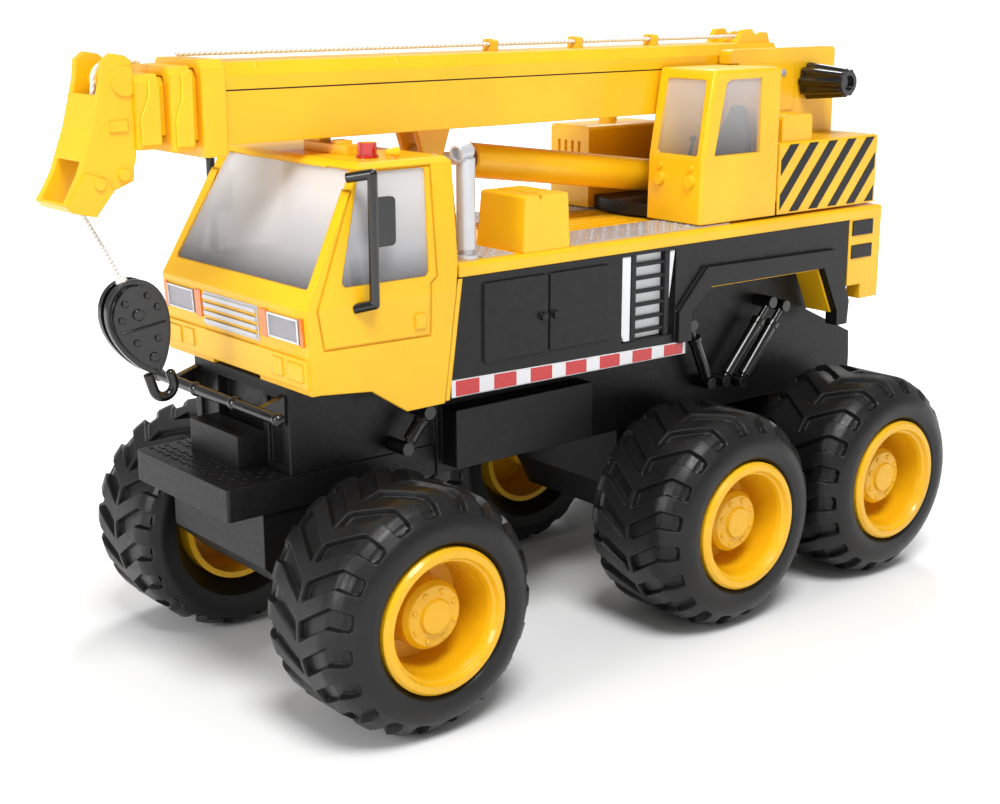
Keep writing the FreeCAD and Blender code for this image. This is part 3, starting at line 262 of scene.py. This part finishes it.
def finish_nodes():
    """Gives every CAD node that stays its finished material."""
    for material, names in FINISHES.items():
        for name in names.split():
            piece = nodes[name]
            if not piece.material_slots:
                piece.data.materials.append(material)
            for slot in piece.material_slots:
                slot.link = "OBJECT"
                slot.material = material


# ---------------------------------------------------------------- making pieces
def add_mesh(name, points, faces, material, body, smooth=35):
    """A new piece from points in millimetres, riding on a body."""
    mesh = bpy.data.meshes.new(name)
    mesh.from_pydata([Vector(p) * MM for p in points], [], faces)
    made = bmesh.new()
    made.from_mesh(mesh)
    bmesh.ops.recalc_face_normals(made, faces=made.faces)
    for edge in made.edges:
        edge.smooth = len(edge.link_faces) == 2 and edge.calc_face_angle(0) < math.radians(smooth)
    for face in made.faces:
        face.smooth = True
    made.to_mesh(mesh)
    made.free()
    mesh.materials.append(material)
    piece = bpy.data.objects.new(name, mesh)
    scene.collection.objects.link(piece)
    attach(piece, body)
    return piece


def add_prisms(name, prisms, material, body, bevel=0.12):
    """Many prisms in one piece, with bevelled edges. Each is (outline, extrusion)."""
    points, faces = [], []
    for outline, extrusion in prisms:
        first, count = len(points), len(outline)
        points += [Vector(p) for p in outline]
        points += [Vector(p) + Vector(extrusion) for p in outline]
        faces.append([first + i for i in range(count)])
        faces.append([first + count + i for i in reversed(range(count))])
        faces += [[first + i, first + (i + 1) % count, first + count + (i + 1) % count, first + count + i]
                  for i in range(count)]
    piece = add_mesh(name, points, faces, material, body)
    rounding = piece.modifiers.new("rounding", "BEVEL")
    rounding.width = bevel * MM
    rounding.segments = 2
    rounding.limit_method = "ANGLE"
    return piece


def add_curve(name, points, radius, material, body, nurbs=True):
    """A round string through control points in millimetres."""
    curve = bpy.data.curves.new(name, "CURVE")
    curve.dimensions = "3D"
    curve.bevel_depth = radius * MM
    curve.bevel_resolution = 5
    curve.use_fill_caps = True
    spline = curve.splines.new("NURBS" if nurbs else "POLY")
    spline.points.add(len(points) - 1)
    for control, point in zip(spline.points, points):
        control.co = (*(Vector(point) * MM), 1)
    if nurbs:
        spline.order_u = 3
        spline.use_endpoint_u = True
        spline.resolution_u = 12
    curve.materials.append(material)
    piece = bpy.data.objects.new(name, curve)
    scene.collection.objects.link(piece)
    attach(piece, body)
    return piece


# ---------------------------------------------------------------- string
STRING_RADIUS = 0.62


def make_strings(block):
    """The hoist string from the boom head down into the hook block."""
    route = [(133.4, 0, 133.3), (129.5, 0, 126.2), (125.134, 0, 118.045), (122.312, 0, 109.497),
             (120.281, 0, 104.053)]
    hoist = add_curve("hoist_cord", route, STRING_RADIUS, string_white, "hook")
    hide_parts("hoist_string")


def make_boom_strings():
    """The taut string on the base section, and the finish of the string over the head sheave."""
    rear, front, top = -101.0, 105.9, 170.9
    along_base = add_curve("string_along_base", [(rear, 0, top), (front, 0, top)], STRING_RADIUS,
                           string_white, "boom_base", nurbs=False)
    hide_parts("string_top")
    for slot in nodes["string_head"].material_slots:
        slot.link = "OBJECT"
        slot.material = string_white


# ---------------------------------------------------------------- tyres
TYRE = {"inner": 30.5, "outer": 67.4, "radius": 32.7, "middle": 48.9}
PITCHES = 20
PITCH = 2 * math.pi * TYRE["radius"] / PITCHES
# half a groove's width, and how far its walls slope
GROOVE_HALF = 0.27 * PITCH
WALL = 0.55
GROOVE_DEPTH = 1.7
# where the grooves start and end, counted from the tread's middle
GROOVE_START = 0.55
GROOVE_END = 18.6
# how far the lugs slant per mm from the tread's middle, and where they turn straight
SHEAR = 0.63
SHEAR_STOP = 11.5
BORE = {"seat": 17.5, "lip": 19.6, "outer": 64.4}


# the studs on the wheel hubs
STUDS = 8
STUD_RING = 6.6
STUD_RADIUS = 0.8
STUD_HEIGHT = 0.9
HUB_FACE = 61.6


def tyre_profile():
    """Closed outline of (radius, y), from the middle of the tread outwards and round by the bore."""
    inner, outer, top = TYRE["inner"], TYRE["outer"], TYRE["radius"]
    outside = [(top, outer - 8.8), (top - 0.8, outer - 6.2), (top - 2.3, outer - 3.8),
               (top - 5.7, outer - 1.0), (top - 9.2, outer), (BORE["lip"] + 1.0, outer - 0.5),
               (BORE["lip"], outer - 1.8)]
    bore = [(BORE["lip"], BORE["outer"]), (BORE["seat"], BORE["outer"]), (BORE["seat"], inner + 4.0),
            (18.4, inner + 2.2)]
    inside = [(21.5, inner + 0.6), (top - 5.7, inner), (top - 2.1, inner + 1.6), (top - 0.7, inner + 3.6),
              (top, inner + 6.0)]
    return [(top, TYRE["middle"])] + outside + bore + inside + [(top, TYRE["middle"])]


def along(profile, distance):
    """The point at a distance along the profile, and its outward normal."""
    for (r0, y0), (r1, y1) in zip(profile, profile[1:]):
        run = math.hypot(r1 - r0, y1 - y0)
        if distance <= run + 1e-9:
            part = distance / run
            return r0 + (r1 - r0) * part, y0 + (y1 - y0) * part, ((y1 - y0) / run, (r0 - r1) / run)
        distance -= run
    return profile[-1][0], profile[-1][1], (1, 0)


def groove_depth(u, s):
    """Depth at u mm across the groove and s mm from the tread's middle."""
    centre, half = (GROOVE_START + GROOVE_END) / 2, (GROOVE_END - GROOVE_START) / 2
    corner = 1.6 if s > centre else 0.5
    across, lengthwise = abs(u) - GROOVE_HALF + corner, abs(s - centre) - half + corner
    outside = math.hypot(max(across, 0), max(lengthwise, 0)) + min(max(across, lengthwise), 0) - corner
    part = min(max(-outside / WALL, 0), 1)
    return GROOVE_DEPTH * part * part * (3 - 2 * part)


def tyre_mesh(side):
    """A chevron tyre about the Y axis; side is 1 on the vehicle's left and -1 on its right."""
    profile = tyre_profile()
    total = sum(math.hypot(b[0] - a[0], b[1] - a[1]) for a, b in zip(profile, profile[1:]))
    near = [0, 0.3, 0.55, 0.82, 1.1, 2.5, 4.5, 6.5, 8.5, 9.7, 10.6, 11.5, 12.4, 13.5, 14.4, 15.2, 15.9,
            16.6, 17.1, 17.6, 18.0, 18.3, 18.6, 19.1, 20.0, 21.4, 23.0, 24.6, 26.0]
    rest = [27.3, 29.4, 31.8, 42.0, 57.0]
    stations = [s for s in near + rest if s < total - 25] + [total - s for s in reversed(near[1:])]
    edges = [GROOVE_HALF, GROOVE_HALF - WALL / 2, GROOVE_HALF - WALL]
    columns = [-PITCH / 2, -3.6] + [-e for e in edges] + [-0.9, 0.9] + edges[::-1] + [3.6]
    points, faces = [], []
    around = PITCHES * len(columns)
    for station in stations:
        s = min(station, total - station)
        radius, y, normal = along(profile, station)
        shift = SHEAR * min(s, SHEAR_STOP) / TYRE["radius"]
        for pitch in range(PITCHES):
            for u in columns:
                depth = groove_depth(u, s)
                angle = (pitch * PITCH + u) / TYRE["radius"] + shift
                r = radius - normal[0] * depth
                points.append((r * math.cos(angle), side * (y - normal[1] * depth), r * math.sin(angle)))
    for row in range(len(stations)):
        low, high = row * around, (row + 1) % len(stations) * around
        faces += [[low + j, low + (j + 1) % around, high + (j + 1) % around, high + j]
                  for j in range(around)]
    return points, faces


def circle(radius):
    """Twelve points round a small circle, as (across, up)."""
    return [(radius * math.cos(a), radius * math.sin(a)) for a in (math.radians(30 * i) for i in range(12))]


def stud(x, z, y, side):
    """A small round stud standing on a wheel hub's face."""
    outline = [(x + across, y, z + up) for across, up in circle(STUD_RADIUS)]
    return outline, (0, side * STUD_HEIGHT, 0)


def make_studs():
    """A ring of studs round the hub of every wheel."""
    for place in ("front", "middle", "rear"):
        low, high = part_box("rims_" + place)
        x, z = (low.x + high.x) / 2 / MM, (low.z + high.z) / 2 / MM
        studs = []
        for side in (1, -1):
            for i in range(STUDS):
                angle = math.radians(360 / STUDS * i + 20)
                studs.append(stud(x + STUD_RING * math.cos(angle), z + STUD_RING * math.sin(angle),
                                  side * HUB_FACE, side))
        add_prisms("wheel_studs_" + place, studs, rim_yellow, place + "_wheels", 0.25)


def make_tyres():
    """Two tyres on every axle, left and right."""
    for place in ("front", "middle", "rear"):
        low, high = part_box("tyres_" + place)
        centre = Vector(((low.x + high.x) / 2, 0, (low.z + high.z) / 2)) / MM
        made = []
        for side, word in ((1, "left"), (-1, "right")):
            points, faces = tyre_mesh(side)
            made.append(add_mesh("tyre_%s_%s" % (place, word), [Vector(p) + centre for p in points], faces,
                                 rubber, place + "_wheels", 28))
        for piece in made:
            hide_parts("tyres_" + place)


# ---------------------------------------------------------------- reflector strips
STRIP_FRONT = 48.6
STRIP_REAR = -41.1
STRIP_Y = 36.5


def strip_x(share):
    """Where a share of the strip's length from the front is."""
    return STRIP_FRONT + (STRIP_REAR - STRIP_FRONT) * share


def strip_edge(share, top):
    """Height of the strip's lower or upper edge at a share of its length from the front."""
    start, end = (85.2, 83.2) if top else (80.4, 79.4)
    return start + (end - start) * share


def make_reflectors():
    """Seven red and six white blocks in a thin white border."""
    red, white = 1.55, 1.0
    widths = [red if i % 2 == 0 else white for i in range(13)]
    share_per_unit = 0.97 / sum(widths)
    blocks, border = {"red": [], "white": []}, []
    for side in (1, -1):
        y = side * STRIP_Y
        corners = [(0, 0), (1, 0), (1, 1), (0, 1)]
        border.append(([(strip_x(a), y, strip_edge(a, b)) for a, b in corners], (0, side * 0.3, 0)))
        share = 0.015
        for i, width in enumerate(widths):
            end = share + width * share_per_unit
            edges = [(share, False, 0.3), (end, False, 0.3), (end, True, -0.3), (share, True, -0.3)]
            outline = [(strip_x(a), y + side * 0.25, strip_edge(a, top) + lift) for a, top, lift in edges]
            blocks["white" if i % 2 else "red"].append((outline, (0, side * 0.25, 0)))
            share = end
    made = [add_prisms("reflector_border", border, reflective_white, "chassis", 0.05),
            add_prisms("reflector_red", blocks["red"], reflective_red, "chassis", 0.05),
            add_prisms("reflector_white", blocks["white"], reflective_white, "chassis",
                       0.05)]
    for piece in made:
        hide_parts("reflector_strips")


# ---------------------------------------------------------------- tread patterns
DECK_TOP = 116.88
STEP_TOP = 64.08
WALK_INNER, WALK_OUTER = 16.0, 33.6


def lozenge(x, y, z, angle, length=1.7, width=0.6, height=0.25):
    """One raised lozenge, turned by an angle."""
    along_x, along_y = math.cos(angle), math.sin(angle)
    outline = [(x + along_x * a - along_y * b, y + along_y * a + along_x * b, z)
               for a, b in ((-length / 2, 0), (0, -width / 2), (length / 2, 0), (0, width / 2))]
    return outline, (0, 0, height)


def lozenge_field(x0, x1, y0, y1, z, step=2.5):
    """Raised lozenges that turn this way and that, as on chequer plate."""
    field = []
    for i in range(int((x1 - x0) / step)):
        for j in range(int((y1 - y0) / step)):
            angle = math.radians(45 if (i + j) % 2 else -45)
            field.append(lozenge(x0 + (i + 0.5) * step, y0 + (j + 0.5) * step, z, angle))
    return field


def make_treads():
    """Chequer plate on the deck's walkways and on the front step round its box."""
    fields = []
    for x0, x1 in ((-61.5, 3.2), (25.0, 35.2)):
        fields += lozenge_field(x0, x1, WALK_INNER, WALK_OUTER, DECK_TOP)
        fields += lozenge_field(x0, x1, -WALK_OUTER, -WALK_INNER, DECK_TOP)
    add_prisms("deck_tread", fields, silver, "chassis", 0.08)
    step = lozenge_field(101.5, 110.6, -23.6, 23.6, STEP_TOP, 2.3)
    step += lozenge_field(93.0, 101.0, 13.4, 23.6, STEP_TOP, 2.3)
    step += lozenge_field(93.0, 101.0, -23.6, -13.4, STEP_TOP, 2.3)
    add_prisms("step_tread", step, chassis_black, "chassis", 0.08)


# ---------------------------------------------------------------- counterweight stripes
def clipped(outline, low, high):
    """The part of an (x, z) outline between two x values."""
    for limit, sign in ((low, 1), (high, -1)):
        kept = []
        for (x0, z0), (x1, z1) in zip(outline, outline[1:] + outline[:1]):
            in0, in1 = sign * (x0 - limit) >= 0, sign * (x1 - limit) >= 0
            if in0:
                kept.append((x0, z0))
            if in0 != in1:
                part = (limit - x0) / (x1 - x0)
                kept.append((limit, z0 + (z1 - z0) * part))
        outline = kept
    return outline


def make_stripes():
    """Slanting black stripes on both sides of the counterweight."""
    low, high, lean, width, step = 117.9, 139.0, 18.5, 4.3, 9.5
    stripes = []
    for side in (1, -1):
        for i in range(8):
            x = -70.0 - step * i
            outline = clipped([(x, low), (x - width, low), (x - width - lean, high), (x - lean, high)],
                              -131.5, -84.4)
            if len(outline) > 2:
                stripes.append(([(a, side * 34.4, b) for a, b in outline], (0, side * 0.12, 0)))
    add_prisms("counterweight_stripes", stripes, panel_black, "turret", 0.03)


# ---------------------------------------------------------------- small trims
def upright(outline, y, thickness):
    """An (x, z) outline standing at y, with its thickness along Y."""
    return [(x, y, z) for x, z in outline], (0, thickness, 0)


def make_ladder_whites():
    """White plates behind the rungs and beside the rails of each ladder."""
    plates = []
    for side in (1, -1):
        plates.append(upright([(-20.2, 86.4), (-31.9, 86.4), (-31.9, 111.5), (-20.2, 111.5)],
                              side * 33.6, side * 1.0))
        plates.append(upright([(-15.7, 86.4), (-18.0, 86.4), (-18.0, 111.5), (-14.5, 111.5), (-14.5, 89.0)],
                              side * 34.0, side * 2.2))
        plates.append(upright([(-34.1, 97.0), (-36.2, 111.5), (-34.1, 111.5)], side * 34.0, side * 2.2))
    add_prisms("ladder_whites", plates, backing_white, "chassis", 0.15)


def make_boom_lines():
    """A black line painted as the shade in the seam between channel and cover, and small nubs on the
    cover's far edge.
    """
    # painted shade: a thin black strip where the seam between channel and cover lies in shadow
    seam_shade = [upright([(99.2, 162.0), (-78.5, 162.0), (-78.5, 162.35), (99.2, 162.35)], side * 10.66,
                     side * 0.08) for side in (1, -1)]
    add_prisms("boom_seam_shade_line", seam_shade, panel_black, "boom_base", 0.02)
    ribs = []
    for x in (88.0, 44.0, -4.0, -50.0):
        for side in (1, -1):
            foot, crest = (side * 10.75, 165.6), (side * 8.5, 169.15)
            ribs.append(([(x, *foot), (x + 1.2, *foot), (x + 1.2, *crest), (x, *crest)],
                         (0, -side * 0.6, -0.2)))
    add_prisms("boom_ribs", ribs, yellow, "boom_base", 0.1)


def make_collar_steps():
    """Wavy raised steps on the sides of the middle and tip sections' collars."""
    mid = [(107.9, 149.0), (112.9, 149.0), (112.9, 156.0), (111.0, 161.0), (111.0, 167.2), (107.9, 167.2)]
    tip = [(116.1, 149.8), (121.6, 149.8), (121.6, 156.4), (119.2, 161.6), (119.2, 165.6), (116.1, 165.6)]
    for name, outline, y, body in (("mid", mid, 10.95, "boom_mid"), ("tip", tip, 9.5, "boom_tip")):
        steps = [upright(outline, side * y, side * 0.8) for side in (1, -1)]
        add_prisms("collar_step_" + name, steps, yellow, body, 0.38)


def make_arch_lining():
    """The yellow edge that shows inside the top and rear of each wheel arch."""
    lining = []
    for side in (1, -1):
        lining.append(upright([(-51.0, 98.2), (-103.0, 97.8), (-103.0, 98.5), (-51.0, 98.9)],
                              side * 31.0, side * 5.0))
        lining.append(upright([(-103.4, 98.2), (-111.0, 83.0), (-110.2, 82.8), (-102.6, 98.0)],
                              side * 26.0, side * 10.0))
    add_prisms("arch_lining", lining, yellow, "chassis", 0.1)


def make_cab_return():
    """The narrow yellow return between the cab's slanted rear edge and the side panel."""
    strips = [upright([(50.7, 79.9), (49.2, 79.9), (44.6, 112.4), (46.1, 112.4)], side * 36.4, side * 0.25)
              for side in (1, -1)]
    add_prisms("cab_return", strips, yellow, "chassis", 0.06)


def cab_front_x(z):
    """Where the cab's upright front face is at a height."""
    return 92.6 + (z - 88.0) * 1.1 / 21.6


def front_bar(y0, y1, z0, z1, lift, depth):
    """A flat bar on the cab's front face, lifted off it and of some depth."""
    outline = [(cab_front_x(z0) + lift, y0, z0), (cab_front_x(z0) + lift, y1, z0),
               (cab_front_x(z1) + lift, y1, z1), (cab_front_x(z1) + lift, y0, z1)]
    return outline, (depth, 0, 0)


def make_nose_trims():
    """Yellow gaps between the grille's slats, and a light frame round each headlight."""
    gaps = [front_bar(-13.3, 13.3, z, z + 1.1, 0.3, 0.15) for z in (100.35, 102.6, 104.85)]
    add_prisms("grille_gaps", gaps, yellow, "chassis", 0.03)
    frames, border = [], 0.5
    for side in (1, -1):
        y0, y1 = sorted((side * 19.0, side * 33.2))
        frames += [front_bar(y0, y1, 100.9, 100.9 + border, 0.55, 0.3),
                   front_bar(y0, y1, 107.3 - border, 107.3, 0.55, 0.3),
                   front_bar(y0, y0 + border, 100.9 + border, 107.3 - border, 0.55, 0.3),
                   front_bar(y1 - border, y1, 100.9 + border, 107.3 - border, 0.55, 0.3)]
    add_prisms("headlight_frames", frames, backing_white, "chassis", 0.08)


BLOCK_TOP = Vector((124.3, 0, 116.0))
BLOCK_DOWN = Vector((-0.2924, 0, -0.9563))
BLOCK_ACROSS = Vector((0.9563, 0, -0.2924))
BLOCK_FACE = 3.8


def block_point(s, t, y):
    """A point s down the hook block, t across it and y to its side."""
    return BLOCK_TOP + BLOCK_DOWN * s + BLOCK_ACROSS * t + Vector((0, y, 0))


def block_outline(shrink):
    """A smooth egg outline round the block, as (s, t)."""
    outline, middle, widest, count = [], 12.8, 8.4, 48
    for i in range(count):
        angle = 2 * math.pi * i / count
        s = middle - middle * math.cos(angle)
        share = min(max(s / (2 * middle), 0.001), 0.999)
        half = widest * math.sin(math.pi * share ** 0.72) ** 0.62
        outline.append((middle + (s - middle) * (1 - shrink / middle),
                        math.copysign(max(half - shrink, 0.4), math.sin(angle))))
    return outline


def make_hook_block():
    """Two rounded halves with a slot between them, bolt heads and a slanting ridge."""
    shells, trims = [], []
    for side in (1, -1):
        for shrink, start, depth in ((0.0, 0.9, 1.7), (1.1, 2.5, 1.4)):
            shells.append(([block_point(s, t, side * start) for s, t in block_outline(shrink)],
                           (0, side * depth, 0)))
        for s, t, radius in ((5.0, -3.6, 0.9), (4.6, 2.8, 0.9), (8.6, 0.4, 1.5), (8.8, -5.2, 0.9),
                             (8.2, 5.0, 0.9), (16.4, -2.6, 0.9), (15.2, 3.2, 0.9), (20.6, 0.0, 1.3)):
            bolt = [block_point(s + along_s, t + along_t, side * BLOCK_FACE)
                    for along_s, along_t in circle(radius)]
            trims.append((bolt, (0, side * 0.75, 0)))
        ridge = [block_point(s, t, side * BLOCK_FACE)
                 for s, t in ((12.9, -6.2), (13.5, -6.2), (11.5, 6.4), (10.9, 6.4))]
        trims.append((ridge, (0, side * 0.45, 0)))
    shell = add_prisms("hook_block_shells", shells, gloss_black, "hook", 0.45)
    add_prisms("hook_block_trims", trims, gloss_black, "hook", 0.2)
    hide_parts("hook_block")
    return shell


def make_operator_seat():
    """A seat with sloping shoulders and a narrow headrest, swept from rounded sections."""
    rows = [(-67.0, 121.4, 5.0, 3.0), (-66.0, 126.0, 6.0, 5.5), (-69.0, 131.5, 6.6, 6.6),
            (-74.4, 136.5, 6.4, 2.7), (-75.0, 141.0, 6.2, 2.4), (-75.4, 145.0, 5.0, 2.2),
            (-75.6, 147.0, 3.2, 1.9), (-75.8, 149.0, 2.9, 1.9), (-75.9, 151.3, 2.4, 1.6)]
    points, faces, around, seat_y = [], [], 20, 23.2
    for x, z, half_y, half_x in rows:
        for i in range(around):
            angle = 2 * math.pi * i / around
            c, n = math.cos(angle), math.sin(angle)
            points.append((x + half_x * math.copysign(abs(c) ** 0.6, c),
                           seat_y + half_y * math.copysign(abs(n) ** 0.6, n), z))
    for row in range(len(rows) - 1):
        low, high = row * around, (row + 1) * around
        faces += [[low + i, low + (i + 1) % around, high + (i + 1) % around, high + i]
                  for i in range(around)]
    faces.append(list(range(around))[::-1])
    faces.append([(len(rows) - 1) * around + i for i in range(around)])
    seat = add_mesh("operator_seat_shell", points, faces, seat_grey, "turret", 60)
    soften = seat.modifiers.new("soften", "SUBSURF")
    soften.levels = soften.render_levels = 2
    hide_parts("operator_seat")


ROUNDED = {"boom_head": 0.9, "boom_mid_section": 0.6, "boom_tip_section": 0.6, "boom_channel": 0.4,
           "counterweight": 0.5, "operator_cab": 0.4, "cab_shell": 0.4, "side_panels": 0.4,
           "winch_housing": 0.5, "engine_box": 0.5, "deck_boxes": 0.5, "front_step": 0.4,
           "chassis_frame": 0.4}


def round_edges():
    """Rounds the moulded edges of CAD nodes with modifiers; their own meshes stay as they are."""
    for name, width in ROUNDED.items():
        weld = nodes[name].modifiers.new("weld", "WELD")
        weld.merge_threshold = 0.00001
        rounding = nodes[name].modifiers.new("rounding", "BEVEL")
        rounding.width = width * MM
        rounding.segments = 3
        rounding.limit_method = "ANGLE"
        rounding.angle_limit = math.radians(32)
        rounding.harden_normals = True


# ---------------------------------------------------------------- floor, assembly, end
def make_floor():
    """A wide white floor that glows more with distance, so that it has no edge in view."""
    g = Graph("studio_floor")
    g.link(g.ramp(g.noise(3), [(0.3, (0.9, 0.9, 0.9)), (0.7, (0.92, 0.92, 0.92))]),
           g.shader.inputs["Base Color"])
    g.shader.inputs["Roughness"].default_value = 0.7
    g.shader.inputs["Emission Color"].default_value = (1, 1, 1, 1)
    reach = g.add("ShaderNodeVectorMath", operation="LENGTH")
    g.link(g.place, reach.inputs[0])
    g.link(g.spread(reach.outputs["Value"], 0.0, 1.0, 0.25, 0.75), g.shader.inputs["Emission Strength"])
    mesh = bpy.data.meshes.new("floor")
    half = 60
    corners = [(-half, -half, 0), (half, -half, 0), (half, half, 0), (-half, half, 0)]
    mesh.from_pydata(corners, [], [[0, 1, 2, 3]])
    mesh.materials.append(g.material)
    floor = bpy.data.objects.new("floor", mesh)
    scene.collection.objects.link(floor)


place_camera()
light_the_studio()
make_floor()
finish_nodes()
make_strings(make_hook_block())
make_nose_trims()
make_boom_strings()
make_tyres()
make_studs()
make_reflectors()
make_treads()
make_stripes()
make_ladder_whites()
make_boom_lines()
make_collar_steps()
make_arch_lining()
make_cab_return()
make_operator_seat()
round_edges()
